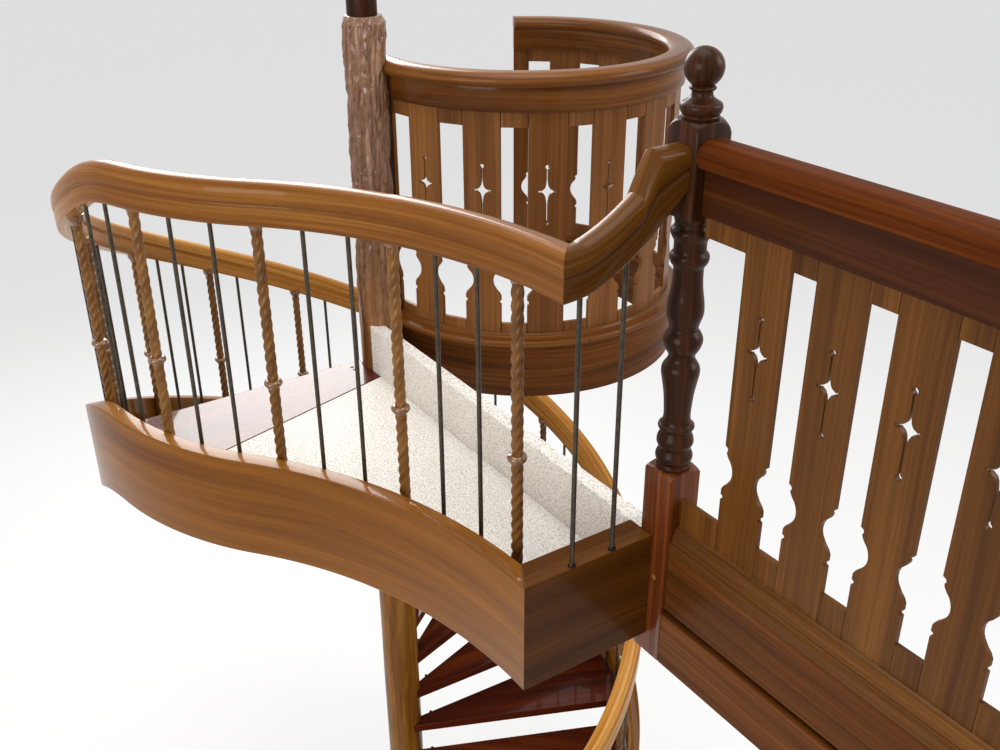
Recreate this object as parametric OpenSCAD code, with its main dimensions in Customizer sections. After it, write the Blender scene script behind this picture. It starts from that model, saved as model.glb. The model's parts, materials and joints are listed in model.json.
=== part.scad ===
// Timber spiral stair about a natural log, with a carpeted landing, laminated
// strings and handrails, and sawn fretwork balustrades along the upper floor.
// Millimetres, +Z up. The origin is the centre of the log's foot on the ground
// floor. +X runs along the gallery and +Y points across the upper floor.

/* [Storey] */
// Rise of one step
riser = 175; // [165:1:185]
// Turn of one step, in degrees
step_turn = 20.4; // [19:0.1:21]
// Direction of the top tread's nosing, in degrees
top_nosing_dir = -89.5; // [-93:0.5:-86]
// Distance of each nosing from its own radius through the post's axis
nosing_set = 65; // [50:1:80]

/* [Centre post] */
// Diameter of the log
post_d = 146; // [130:1:160]
// Height of the log above the upper floor
post_above_floor = 1050; // [950:10:1150]
// Diameter of the pole that the log carries
pole_d = 98; // [80:1:120]
// Visible length of that pole
pole_h = 90; // [60:5:150]

/* [Treads] */
// Thickness of a tread
tread_t = 38; // [30:1:45]
// Part of a tread that lies under the nosing above it
tread_lap = 30; // [20:1:45]
// Diameter of a tread's fixing bolts
bolt_d = 14; // [10:1:18]
// Clearance of a piece let in between its neighbours
seat_gap = 0.3; // [0.2:0.1:0.5]

/* [Strings] */
// Radius of the outer face of the curved string
string_r = 1035; // [1010:5:1060]
// Thickness of the curved string
string_t = 50; // [44:1:56]
// Depth of the string, measured upright
string_h = 311; // [290:1:330]
// Thickness of the short string at the newel
short_string_t = 85; // [75:1:95]
// Distance of the mitred corner from the gallery's line
corner_y = 434; // [420:2:450]
// Direction where the curved string starts to fall, in degrees
string_fall_dir = -85; // [-91:0.5:-82]
// Half of the turn over which a fall eases in, in degrees
ease = 6; // [4:0.5:8]

/* [Handrail] */
// Height of the landing's handrail above the string
rail_over_string = 800; // [760:5:840]
// Depth of the handrail
rail_h = 112; // [95:1:125]
// Width of the handrail
rail_w = 66; // [56:1:76]
// Distance of the handrail's middle inside the string's outer face
rail_inset = 52; // [44:1:58]
// Direction where the handrail starts to fall, in degrees
rail_fall_dir = -75.5; // [-79:0.5:-73]
// Distance of the handrail's mitred corner from the gallery's line
rail_corner_y = 337; // [325:1:350]
// Rise of the handrail from the landing to that corner
corner_lift = 20; // [0:1:30]
// Rise of the handrail's ramp at the newel
ramp_rise = 168; // [140:2:180]

/* [Balusters] */
// Space between balusters along their line, seen from above
baluster_pitch = 131; // [120:1:140]
// Distance of the balusters inside the string's outer face
baluster_inset = 67; // [67:1:72]
// Diameter of a plain steel rod
rod_d = 12; // [8:1:14]
// Side of the square bar that a twisted baluster is made of
twist_side = 23; // [20:1:23]
// Length of one turn of a twisted baluster
twist_pitch = 130; // [110:5:170]
// Diameter of a twisted baluster's collar
collar_d = 46; // [40:1:52]
// Height of a collar above the string, as a share of the baluster's length
collar_at = 0.33; // [0.3:0.01:0.45]

/* [Newels] */
// Side of a newel's square blocks
newel_side = 95; // [88:1:102]
// Distance of the newel from the post's axis, along the gallery
newel_x = 1576; // [1550:2:1600]
// Height of a newel's upper block above its floor
newel_head_z = 826; // [800:2:850]
// Diameter of the ball on a newel
newel_ball_d = 84; // [76:1:92]

/* [Gallery] */
// Whole bays of the gallery
gallery_bays = 6; // [4:1:6]
// Length of one bay
bay = 190; // [180:1:200]
// Width of a slot between two boards
slot_w = 66; // [58:1:72]
// Thickness of the fretwork boards
board_t = 13; // [11:1:18]
// Height of the gallery rail above the upper floor
gallery_h = 1000; // [960:5:1040]
// Height of the slots' lower ends above the upper floor
slot_z = 118; // [110:1:130]
// Length of the slots
slot_h = 670; // [640:1:680]

/* [Well balustrade] */
// Radius of the round balustrade, at the middle of its boards
well_r = 548; // [530:1:565]
// Turn of one of its bays, in degrees
well_bay_turn = 22.1; // [21.5:0.1:22.7]
// Whole bays of the round balustrade
well_bays = 11; // [8:1:11]
// Width of its slots
well_slot_w = 86; // [76:1:92]
// Height of its rail above the upper floor
well_h = 912; // [900:2:940]
// Drop of its fretwork below the gallery's
well_drop = 50; // [40:1:60]

/* [Hidden] */
$fn = 64;
treads = 15;
floor_z = riser * (treads + 1);
landing_z = riser * treads;
pitch = riser / step_turn;
post_r = post_d / 2;
string_in = string_r - string_t;
string_mid = string_r - string_t / 2;

// Nosing direction of tread k, in degrees
function nosing_dir(k) = top_nosing_dir - step_turn * (treads - k);

// Fall of a line that starts to drop at direction a0 and eases in
function fall(a, a0) =
    let(d = a0 - a)
    d < -ease ? 0 : d > ease ? pitch * d : pitch * pow(d + ease, 2) / (4 * ease);

// The string's outer face is an arc about the log, then a reverse arc whose
// centre lies square in front of the mitred corner, so that it ends along +X
newel_y = -15;
newel_face_y = newel_y - newel_side / 2;
corner_x = newel_x - 4;
corner_line = newel_y - corner_y;
function reverse_r(r, x, y) = (x * x + y * y - r * r) / (2 * (r + y));
ogee_r = reverse_r(string_r, corner_x, corner_line);
ogee_y = corner_line - ogee_r;
ogee_dir = atan2(ogee_y, corner_x);
short_in_x = corner_x - short_string_t;
string_bottom = floor_z - string_h;
ring_step = 6;

// Point at distance d inside the string's outer face, on either arc
function arc_point(d, a) = (string_r - d) * [cos(a), sin(a)];
function ogee_point(d, a) = [corner_x, ogee_y] + (ogee_r + d) * [cos(a), sin(a)];
// Point on the reverse arc, at distance d inside, that lies at x
function ogee_at_x(d, x) =
    [x, ogee_y + sqrt(pow(ogee_r + d, 2) - pow(corner_x - x, 2))];

// Landing side of the mitre, where the curved string meets the short one
mitre_in = ogee_at_x(string_t, short_in_x);

// Line at distance d inside the outer face, from direction a0 on the arc and on
// along the reverse arc as far as x1
arc_steps = 11;
ogee_steps = 14;
function curved_line(d, a0, x1) =
    let(end = ogee_at_x(d, x1),
        a1 = atan2(end[1] - ogee_y, end[0] - corner_x),
        b0 = ogee_dir + 180)
    concat([for (i = [0:arc_steps]) arc_point(d, a0 + (ogee_dir - a0) * i / arc_steps)],
           [for (i = [1:ogee_steps]) ogee_point(d, b0 + (a1 - b0) * i / ogee_steps)]);

function reversed(list) = [for (i = [len(list) - 1:-1:0]) list[i]];

// Solid through rings of points. Each ring runs clockwise when it is looked at
// along the sweep.
module sweep(rings) {
    n = len(rings[0]);
    last = len(rings) - 1;
    sides = [for (i = [0:last - 1]) for (j = [0:n - 1]) let(k = (j + 1) % n)
             [i * n + j, (i + 1) * n + j, (i + 1) * n + k, i * n + k]];
    polyhedron([for (ring = rings) for (p = ring) p],
               concat([[for (j = [0:n - 1]) j]], sides,
                      [[for (j = [n - 1:-1:0]) last * n + j]]), convexity = 6);
}

/* Centre post */
module post_bore(h) {
    translate([0, 0, -1]) cylinder(r = post_r + seat_gap, h = h + 2);
}

// Hollows along the log above the floor: [share of that height, depth]
log_waves = [[0.12, 0], [0.16, 4], [0.31, 3], [0.40, 1], [0.50, 6], [0.61, 4],
             [0.69, 4], [0.92, 6], [0.94, 10], [0.97, 8], [1, 13]];

module centre_log() {
    color("#8a5a34")
    rotate_extrude($fn = 48)
    polygon(concat([[0, 0], [post_r, 0]],
                   [for (w = log_waves) [post_r - w[1], floor_z + post_above_floor * w[0]]],
                   [[0, floor_z + post_above_floor]]));
}

module post_pole() {
    color("#3a2418")
    translate([0, 0, floor_z + post_above_floor])
    cylinder(d = pole_d, h = pole_h);
}

/* Treads */
tread_r = string_in * cos(ring_step / 2) - seat_gap;

// Plan of a tread: from its nosing line to a back line that is turned by a
// and lies at distance back from its own radius
module tread_plan(a, back) {
    reach = string_r * 1.3;
    polygon([[0, -nosing_set], [reach, -nosing_set],
             [reach * cos(a) - back * sin(a), reach * sin(a) + back * cos(a)],
             [-back * sin(a), back * cos(a)]]);
}

module tread_body(a, back) {
    bolt_at = post_r + 45;
    difference() {
        intersection() {
            cylinder(r = tread_r, h = tread_t, $fn = 96);
            translate([0, 0, -1]) linear_extrude(tread_t + 2) tread_plan(a, back);
        }
        post_bore(tread_t);
        for (s = [0.1, 0.8])
            rotate(a * s - 12)
            translate([bolt_at, 0, tread_t - 4])
            cylinder(d = bolt_d, h = 10, $fn = 24);
    }
}

module tread(k) {
    color("#7a2f1c")
    translate([0, 0, k * riser - tread_t])
    rotate(nosing_dir(k))
    tread_body(step_turn, tread_lap - nosing_set);
}

// The top tread ends at the landing's seam and at the floor's riser
module top_tread() {
    color("#7a2f1c")
    difference() {
        translate([0, 0, landing_z - tread_t])
        rotate(nosing_dir(treads))
        tread_body(seam_turn, seam_set - seat_gap);
        translate([-string_r, newel_face_y - seat_gap, landing_z - tread_t - 1])
        cube([2 * string_r, string_r, tread_t + 2]);
    }
}

/* Landing */
// Turn from the top nosing to the seam, and the seam's distance from its radius
seam_turn = 15.4;
seam_set = 84;
carpet_t = 8;
seam_dir = top_nosing_dir + seam_turn;

// Plan of the landing between the seam, the strings and the floor's riser
deck_gap = 2 * seat_gap;
module landing_plan() {
    d = string_t + deck_gap;
    seam_y = seam_set + seat_gap;
    seam_near = [-sin(seam_dir), cos(seam_dir)] * seam_y;
    y1 = newel_face_y - deck_gap;
    seam_x = seam_near[0] + cos(seam_dir) / sin(seam_dir) * (y1 - seam_near[1]);
    x1 = short_in_x - deck_gap;
    polygon(concat(curved_line(d, seam_dir + asin(seam_y / (string_r - d)), x1),
                   [[x1, y1], [seam_x, y1]]));
}

module landing_deck() {
    color("#8c5a34")
    translate([0, 0, landing_z - tread_t])
    linear_extrude(tread_t - carpet_t) landing_plan();
}

module landing_carpet() {
    color("#d8d2c6")
    translate([0, 0, landing_z - carpet_t])
    linear_extrude(carpet_t) landing_plan();
}

// Board at the edge of the upper floor, from the log to the newel
module landing_riser() {
    x1 = newel_x - newel_side / 2 - seat_gap;
    color("#d8d2c6")
    difference() {
        translate([0, newel_face_y, landing_z - tread_t])
        cube([x1, newel_side / 2, riser + tread_t]);
        translate([0, 0, landing_z - tread_t]) post_bore(riser + tread_t);
    }
}

/* Strings */
module landing_string() {
    color("#c07a35")
    translate([0, 0, string_bottom])
    linear_extrude(string_h)
    polygon(concat(curved_line(0, string_start_dir, corner_x),
                   reversed(curved_line(string_t, string_start_dir, short_in_x))));
}

module short_string() {
    color("#c58440")
    translate([0, 0, string_bottom])
    linear_extrude(string_h)
    polygon([[corner_x, corner_line + seat_gap], [corner_x, newel_face_y],
             [short_in_x, newel_face_y], mitre_in + [0, seat_gap]]);
}

// Sweep of a section, [distance from the axis, height], from direction a0 up to
// direction a1 in equal rings; it falls from height top, starting at a_fall
module helix_sweep(section, a0, a1, rings, a_fall, top) {
    sweep([for (i = [0:rings])
           let(a = a0 + (a1 - a0) * i / rings, z = top - fall(a, a_fall))
           [for (p = section) [p[0] * cos(a), p[0] * sin(a), max(0, z + p[1])]]]);
}

string_section = [[string_in, -string_h], [string_in, 0],
                  [string_r, 0], [string_r, -string_h]];
string_start_dir = string_fall_dir + ease;
// The flight's string ends just past the first nosing, at the bottom newel
string_end_dir = nosing_dir(1)
                 - asin(nosing_set / (string_mid - newel_side / 2)) - 0.2;
string_turn = (string_start_dir - string_end_dir) / 3;

module string_part(i) {
    color("#b87434")
    helix_sweep(string_section, string_start_dir - string_turn * (i + 1),
                string_start_dir - string_turn * i, round(string_turn / ring_step),
                string_fall_dir, floor_z);
}

/* Handrail */
// Section, [across, height]: a domed top with a lip, a groove below it, then
// a flat band that narrows a little to the underside
rail_points = [[-0.44 * rail_w, -rail_h], [-0.46 * rail_w, -0.58 * rail_h],
               [-0.38 * rail_w, -0.50 * rail_h], [-0.49 * rail_w, -0.43 * rail_h],
               [-0.50 * rail_w, -0.20 * rail_h], [-0.30 * rail_w, 0],
               [0.30 * rail_w, 0], [0.50 * rail_w, -0.20 * rail_h],
               [0.49 * rail_w, -0.43 * rail_h], [0.38 * rail_w, -0.50 * rail_h],
               [0.46 * rail_w, -0.58 * rail_h], [0.44 * rail_w, -rail_h]];
rail_top = floor_z + rail_over_string;
rail_start_dir = rail_fall_dir + ease;
rail_turn = (rail_start_dir - string_end_dir) / 3;

// The rail's line is an arc about the log and a reverse arc like the string's,
// with a mitred corner of its own straight before the newel
rail_r = string_r - rail_inset;
rail_x = newel_x;
rail_y = newel_y - rail_corner_y;
rail_back_r = reverse_r(rail_r, rail_x, rail_y);
rail_back_y = rail_y - rail_back_r;
rail_back_dir = atan2(rail_back_y, rail_x);
rail_back_turn = rail_back_dir + 90;

// Point at distance d outside the rail's line, on the arc or the reverse arc
function rail_arc_point(d, a) = (rail_r + d) * [cos(a), sin(a)];
function rail_back_point(d, a) =
    [rail_x, rail_back_y] + (rail_back_r - d) * [cos(a), sin(a)];

// Rings of the landing's rail: along the arc, along the reverse arc, where it
// rises a little, and last the square mitre at the corner
module landing_handrail() {
    dirs = [for (i = [0:arc_steps])
            rail_start_dir + (rail_back_dir - rail_start_dir) * i / arc_steps];
    last = 90 + asin(rail_w / rail_back_r);
    backs = [for (i = [1:ogee_steps])
             rail_back_dir + 180 + (last - rail_back_dir - 180) * i / ogee_steps];
    color("#b06a30")
    translate([0, 0, rail_top])
    sweep(concat(
        [for (a = dirs) [for (p = rail_points) concat(rail_arc_point(p[0], a), p[1])]],
        [for (a = backs) [for (p = rail_points)
            concat(rail_back_point(p[0], a), p[1] + back_lift(a))]],
        [[for (p = rail_points) [rail_x + p[0], rail_y - p[0], p[1] + corner_lift]]]));
}

// Rise of the rail along the reverse arc, at direction a about its centre
function back_lift(a) = corner_lift * (1 - (a - 90) / rail_back_turn);

module handrail_part(i) {
    color("#b06a30")
    helix_sweep([for (p = rail_points) [rail_r + p[0], p[1]]],
                rail_start_dir - rail_turn * (i + 1), rail_start_dir - rail_turn * i,
                round(rail_turn / ring_step), rail_fall_dir, rail_top);
}

// Ramp from the corner up to the newel, swept along +Y. Its underside climbs in
// one curve, and its top leaves that curve to end in a level block.
ramp_shares = [0, 0.13, 0.2, 0.28, 0.36, 0.44, 0.52, 0.6, 0.64, 0.68, 0.72, 0.8, 0.9, 1];
ramp_len = newel_face_y - rail_y;
level_from = 0.72;
steep_from = 0.6;
function ramp_under(s) = (ramp_rise + 14) * pow(s, 1.6);
function ramp_over(s) =
    s <= steep_from ? ramp_under(s)
    : s >= level_from ? ramp_rise
    : let(t = (s - steep_from) / (level_from - steep_from), low = ramp_under(steep_from))
      low + (ramp_rise - low) * t;
function ramp_z(h, s) =
    let(share = (h + rail_h) / rail_h)
    h + ramp_under(s) * (1 - share) + ramp_over(s) * share;

module handrail_ramp() {
    color("#b06a30")
    translate([0, 0, rail_top + corner_lift])
    sweep([for (s = ramp_shares)
           [for (p = rail_points)
            [rail_x + p[0], s == 0 ? rail_y + seat_gap - p[0] : rail_y + ramp_len * s,
             ramp_z(p[1], s)]]]);
}

/* Balusters */
// The balusters stand inside the strings, on the landing and on the treads, at
// equal distances along one line. Place i counts down from the corner. Every
// third baluster is twisted.
line_in = baluster_inset - rail_inset;
line_r = rail_r - line_in;
arc_len = line_r * PI / 180;
back_len = (rail_back_r + line_in) * PI / 180;
back_total = rail_back_turn * back_len;
corner_run = 182;
function run_of(i) = corner_run + i * baluster_pitch;
// Direction about the log of the place at distance s from the corner
function arc_dir(s) = rail_back_dir - (s - back_total) / arc_len;

// Turn from a tread's nosing direction back to its nosing at the balusters, and
// the least turn between a nosing and a baluster's middle
nosing_turn = asin(nosing_set / line_r);
clear_turn = (twist_side / sqrt(2) + 4) / arc_len;
first_edge = nosing_dir(treads) - nosing_turn;
// Tread below direction a, counted down from the top one
function treads_down(a) = max(0, ceil((first_edge - a) / step_turn));
// Direction a, moved off the nosings before and behind it if it is too near
function clear_dir(a) =
    let(down = treads_down(a), low = first_edge - step_turn * down)
    max(low + clear_turn, down == 0 ? a : min(low + step_turn - clear_turn, a));
function spot_dir(i) = clear_dir(arc_dir(run_of(i)));

// Height of the rail's underside where the rail is over the arc
function under_z(a) = rail_top - rail_h - fall(a, rail_fall_dir);

// Each baluster as [x, y, foot, top, height of the string beside it]
function back_spot(s) =
    concat(rail_back_point(-line_in, 90 + s / back_len),
           [landing_z, rail_top - rail_h + corner_lift * (1 - s / back_total), floor_z]);
function arc_spot(a) =
    concat(rail_arc_point(-line_in, a),
           [landing_z - riser * treads_down(a), under_z(a),
            floor_z - fall(a, string_fall_dir)]);
function spot(i) = run_of(i) < back_total ? back_spot(run_of(i)) : arc_spot(spot_dir(i));

function place_at(a) = (back_total + (rail_back_dir - a) * arc_len - corner_run) / baluster_pitch;
landing_places = floor(place_at(first_edge));
last_place = floor(place_at(string_end_dir + 2 * clear_turn));
landing_spots = [for (i = [0:landing_places]) spot(i)];
flight_spots = [for (i = [landing_places + 1:last_place]) spot(i)];
first_twisted = (3 - (landing_places + 1) % 3) % 3;
short_places = [for (y = [-121, -243]) [newel_x - 14, newel_face_y + y]];

module rod(spot) {
    translate([spot[0], spot[1], spot[2]]) cylinder(d = rod_d, h = spot[3] - spot[2], $fn = 24);
}

module rods(spots, first) {
    for (i = [0:len(spots) - 1]) if ((i - first) % 3 != 0) rod(spots[i]);
}

module twisted(spots, first) {
    for (i = [first:3:len(spots) - 1]) {
        h = spots[i][3] - spots[i][2];
        translate([spots[i][0], spots[i][1], spots[i][2]])
        linear_extrude(height = h, twist = 360 * h / twist_pitch,
                       slices = round(6 * h / twist_pitch), segments = 4)
        square(twist_side, center = true);
    }
}

// Underside of the ramp at y
function ramp_under_at(y) =
    rail_top + corner_lift - rail_h + ramp_under((y - rail_y) / ramp_len);

module landing_rods() {
    color("#4a4038") {
        rods(landing_spots, 0);
        for (p = short_places) rod([p[0], p[1], floor_z, ramp_under_at(p[1])]);
    }
}

module flight_rods() {
    color("#4a4038") rods(flight_spots, first_twisted);
}

module landing_twisted_balusters() {
    color("#9a6a35") twisted(landing_spots, 0);
}

module flight_twisted_balusters() {
    color("#9a6a35") twisted(flight_spots, first_twisted);
}

module collars(spots, first) {
    bore = twist_side / sqrt(2) + seat_gap;
    for (i = [first:3:len(spots) - 1]) {
        z = spots[i][4] + (spots[i][3] - spots[i][4]) * collar_at;
        translate([spots[i][0], spots[i][1], z])
        rotate_extrude($fn = 32)
        polygon([[bore, -7], [collar_d / 2 - 2, -5], [collar_d / 2, 0],
                 [collar_d / 2 - 2, 5], [bore, 7]]);
    }
}

module baluster_collars() {
    color("#6a4526") {
        collars(landing_spots, 0);
        collars(flight_spots, first_twisted);
    }
}

/* Newels */
// Square block whose top is turned to a round shoulder of depth d, which leaves
// an arch on each face
module newel_block(h, d) {
    half = newel_side / 2;
    intersection() {
        translate([-half, -half, 0]) cube([newel_side, newel_side, h]);
        rotate_extrude($fn = 64)
        polygon([[0, 0], [half * 1.5, 0], [half * 1.5, h - d], [half * 1.36, h - d * 0.8],
                 [half * 1.18, h - d * 0.45], [half, h - d * 0.15], [half * 0.86, h],
                 [0, h]]);
    }
}

// Turned newel: foot block from z0 to the lower turning, upper block and ball.
// Heights are above the floor that the newel guards.
module newel(z0) {
    half = newel_side / 2;
    lower = 191;
    shaft = [[0, lower - 20], [half * 0.9, lower - 5], [40, lower + 10], [44, lower + 35],
             [38, lower + 52], [44, lower + 70], [40, lower + 92], [36, lower + 104],
             [43, lower + 112], [36, lower + 122], [32, lower + 140], [36, lower + 200],
             [44, lower + 248], [45, lower + 262], [38, lower + 280], [31, lower + 297],
             [38, lower + 312], [46, lower + 335], [42, lower + 352], [33, lower + 366],
             [36, lower + 380], [43, lower + 408], [41, lower + 434], [34, lower + 480],
             [34, lower + 516], [43, lower + 530], [44, lower + 541], [38, lower + 550],
             [37, newel_head_z - 60], [46, newel_head_z - 40], [38, newel_head_z - 22],
             [half * 0.9, newel_head_z + 5], [0, newel_head_z + 20]];
    ball_z = newel_head_z + 311;
    head = 207;
    union() {
        translate([0, 0, z0]) newel_block(lower - z0, 14);
        rotate_extrude($fn = 64) polygon(shaft);
        translate([0, 0, newel_head_z]) newel_block(head, 38);
        translate([0, 0, newel_head_z + head])
        rotate_extrude($fn = 64)
        polygon([[0, -5], [half * 0.8, -5], [half * 0.85, 6], [44, 20], [45, 28], [40, 36],
                 [24, 44], [22, 52], [28, 60], [30, 68], [0, 72]]);
        translate([0, 0, ball_z]) sphere(d = newel_ball_d, $fn = 64);
    }
}

beam_bottom = -370;

module top_newel() {
    color("#4a2418")
    translate([newel_x, newel_y, floor_z]) newel(beam_bottom);
}

module bottom_newel() {
    color("#4a2418")
    rotate(string_end_dir)
    translate([string_mid, -newel_side / 2 - seat_gap, 0]) newel(0);
}

/* Gallery */
gallery_x0 = newel_x + newel_side / 2;
gallery_len = gallery_bays * bay;
cap_z = gallery_h - 55;
fascia_z = cap_z - 107;

// A slot between two boards, drawn about its centre line from its lower end:
// straight sides that open low down in a cove between two nicks.
// [height, distance from the straight side]
slot_swell = [[70, 0], [72, 6], [80, 6], [83, 0], [98, 0], [112, 11], [122, 18],
              [138, 27], [155, 28], [170, 24], [183, 13], [198, 6], [202, 9],
              [208, 8], [212, 0]];
module slot_plan(w) {
    side = concat([[0, 0]], slot_swell, [[slot_h, 0]]);
    polygon(concat([for (p = side) [w / 2 + p[1], p[0]]],
                   reversed([for (p = side) [-w / 2 - p[1], p[0]]])));
}

// Four-pointed star with two long slits that end in round holes
star_z = 580;
module star_plan() {
    arm = [[1.5, 81], [1.5, 34], [3, 20], [7, 7], [23, 1.5]];
    leg = [[23, -1.5], [7, -7], [3, -22], [1.5, -40], [1.5, -104]];
    right = concat(arm, leg);
    polygon(concat(right, reversed([for (p = right) [-p[0], p[1]]])));
    for (p = [[0, 81, 10], [0, -104, 10], [23, 0, 6], [-23, 0, 6]])
        translate([p[0], p[1]]) circle(d = p[2], $fn = 20);
}

// Flat fretwork panel from x = 0, with whole bays. Its first slot is open to the
// newel, and each star lies between two slots.
first_slot = 88;
module fretwork_panel() {
    difference() {
        square([gallery_len, fascia_z]);
        for (i = [0:gallery_bays - 1])
            translate([first_slot + bay * i, slot_z]) slot_plan(slot_w);
        translate([-1, slot_z]) square([first_slot, slot_h]);
        for (i = [0:gallery_bays - 2])
            translate([first_slot + bay * (i + 0.5), star_z]) star_plan();
    }
}

module along_gallery(y, z) {
    translate([gallery_x0, newel_y + y, floor_z + z]) children();
}

module gallery_fretwork() {
    color("#9a5a2c")
    along_gallery(board_t / 2, 0)
    rotate([90, 0, 0]) linear_extrude(board_t) fretwork_panel();
}

module gallery_fascia() {
    color("#6a2c18")
    along_gallery(-22, fascia_z) cube([gallery_len, 44, cap_z - fascia_z]);
}

module gallery_handrail() {
    color("#6a2c18")
    along_gallery(0, 0)
    rotate([90, 0, 90]) linear_extrude(gallery_len)
    polygon([[-42, cap_z], [-48, cap_z + 12], [-48, cap_z + 30], [-34, gallery_h - 5],
             [-16, gallery_h], [16, gallery_h], [34, gallery_h - 5], [48, cap_z + 30],
             [48, cap_z + 12], [42, cap_z]]);
}

module gallery_base_mould() {
    color("#9a5a2c")
    along_gallery(-board_t / 2 - 30, 0)
    rotate([90, 0, 90]) linear_extrude(gallery_len)
    polygon([[0, -30], [0, 0], [8, 8], [8, 20], [16, 28], [16, 36], [30, 42], [30, -30]]);
}

module gallery_upper_beam() {
    color("#7a3520")
    along_gallery(-newel_side / 2 + 8, -200)
    cube([gallery_len, newel_side - 16, 170]);
}

module gallery_lower_beam() {
    color("#7a3520")
    along_gallery(-newel_side / 2, beam_bottom)
    cube([gallery_len, newel_side, -beam_bottom - 212]);
}

/* Well balustrade */
// Its line passes close behind the log, where a board's middle lies
well_y = well_r + post_r + 6;
well_start = -93;
well_cap_z = well_h - 44;
well_fascia_z = well_cap_z - 80;
well_turn = well_bays * well_bay_turn;

// Ring about the round balustrade's centre, with the given section
module well_ring() {
    translate([0, well_y, 0])
    rotate(well_start)
    rotate_extrude(angle = well_turn, $fn = 180)
    children();
}

// Sawn shape i bays from the start of the round balustrade, at height z
module well_cut(i, z) {
    translate([0, well_y, z])
    rotate(well_start + well_bay_turn * i)
    translate([well_r - 40, 0, 0])
    rotate([90, 0, 90]) linear_extrude(80) children();
}

module well_fretwork() {
    color("#9a5a2c")
    translate([0, 0, floor_z])
    difference() {
        well_ring() translate([well_r - board_t / 2, 0]) square([board_t, well_fascia_z]);
        post_bore(well_fascia_z);
        for (i = [0:well_bays - 1]) well_cut(i + 0.5, slot_z - well_drop) slot_plan(well_slot_w);
        for (i = [1:well_bays - 1]) well_cut(i, star_z - well_drop) star_plan();
    }
}

module well_fascia() {
    h = well_cap_z - well_fascia_z;
    color("#9a5a2c")
    translate([0, 0, floor_z + well_fascia_z])
    difference() {
        well_ring() translate([well_r - 20, 0]) square([40, h]);
        post_bore(h);
    }
}

module well_handrail() {
    color("#b06a30")
    translate([0, 0, floor_z + well_cap_z])
    difference() {
        well_ring()
        translate([well_r, 0])
        polygon([[-36, 0], [-44, 8], [-46, 24], [-34, 40], [-20, 44],
                 [20, 44], [34, 40], [46, 24], [44, 8], [36, 0]]);
        post_bore(well_h - well_cap_z);
    }
}

// Low plinth outside the boards' feet
module well_base_mould() {
    color("#9a5a2c")
    translate([0, 0, floor_z])
    difference() {
        well_ring()
        translate([well_r + board_t / 2, 0])
        polygon([[0, 0], [48, 0], [48, 14], [43, 20], [10, 22], [6, 30], [0, 34]]);
        post_bore(60);
    }
}

// Curved trimmer of the floor's opening, which carries the round balustrade
module well_trimmer() {
    color("#7a3520")
    translate([0, 0, floor_z - 200])
    difference() {
        well_ring() translate([well_r - 30, 0]) square([60, 200]);
        post_bore(200);
    }
}

centre_log();
post_pole();
tread(1);  // tread_01
tread(2);  // tread_02
tread(3);  // tread_03
tread(4);  // tread_04
tread(5);  // tread_05
tread(6);  // tread_06
tread(7);  // tread_07
tread(8);  // tread_08
tread(9);  // tread_09
tread(10);  // tread_10
tread(11);  // tread_11
tread(12);  // tread_12
tread(13);  // tread_13
tread(14);  // tread_14
top_tread();  // tread_15
landing_deck();
landing_carpet();
landing_riser();
landing_string();
short_string();
string_part(0);  // string_upper
string_part(1);  // string_middle
string_part(2);  // string_lower
landing_handrail();
handrail_ramp();
handrail_part(0);  // handrail_upper
handrail_part(1);  // handrail_middle
handrail_part(2);  // handrail_lower
landing_rods();
flight_rods();
landing_twisted_balusters();
flight_twisted_balusters();
baluster_collars();
top_newel();
bottom_newel();
gallery_handrail();
gallery_fascia();
gallery_fretwork();
gallery_base_mould();
gallery_upper_beam();
gallery_lower_beam();
well_handrail();
well_fascia();
well_fretwork();
well_base_mould();
well_trimmer();
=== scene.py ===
"""Looks of a timber spiral staircase, in metres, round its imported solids."""
import json
from math import acos, asin, atan2, cos, degrees, dist, hypot, pi, radians, sin, sqrt, tau

import bmesh
import bpy
from mathutils import Matrix, Vector, noise


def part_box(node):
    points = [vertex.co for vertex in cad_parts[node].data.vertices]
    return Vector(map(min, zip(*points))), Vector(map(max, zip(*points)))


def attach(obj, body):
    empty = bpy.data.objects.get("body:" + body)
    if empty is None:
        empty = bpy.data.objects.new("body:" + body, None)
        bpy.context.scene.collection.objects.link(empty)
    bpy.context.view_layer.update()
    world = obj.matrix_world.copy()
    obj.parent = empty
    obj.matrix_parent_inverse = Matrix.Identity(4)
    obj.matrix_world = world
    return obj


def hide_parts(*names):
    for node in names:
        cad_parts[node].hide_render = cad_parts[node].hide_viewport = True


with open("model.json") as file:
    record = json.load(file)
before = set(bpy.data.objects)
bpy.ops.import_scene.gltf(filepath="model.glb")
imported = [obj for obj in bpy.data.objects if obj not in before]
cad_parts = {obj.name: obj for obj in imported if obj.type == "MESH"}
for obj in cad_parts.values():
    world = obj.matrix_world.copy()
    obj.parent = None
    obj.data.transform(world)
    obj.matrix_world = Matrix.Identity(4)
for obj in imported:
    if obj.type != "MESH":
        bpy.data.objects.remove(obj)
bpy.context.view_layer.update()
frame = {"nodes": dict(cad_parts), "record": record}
SLOT = {s["node"]: s["material_slot"] for s in frame["record"]["subparts"]}

# Camera, at the photograph's viewing angle
EYE = Vector((3.2045, -1.5816, 4.363))
HEADING = radians(146.8)
PITCH = radians(26.87)
ROLL = radians(-0.34)
LENS, SENSOR = 38.52, 36

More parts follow.
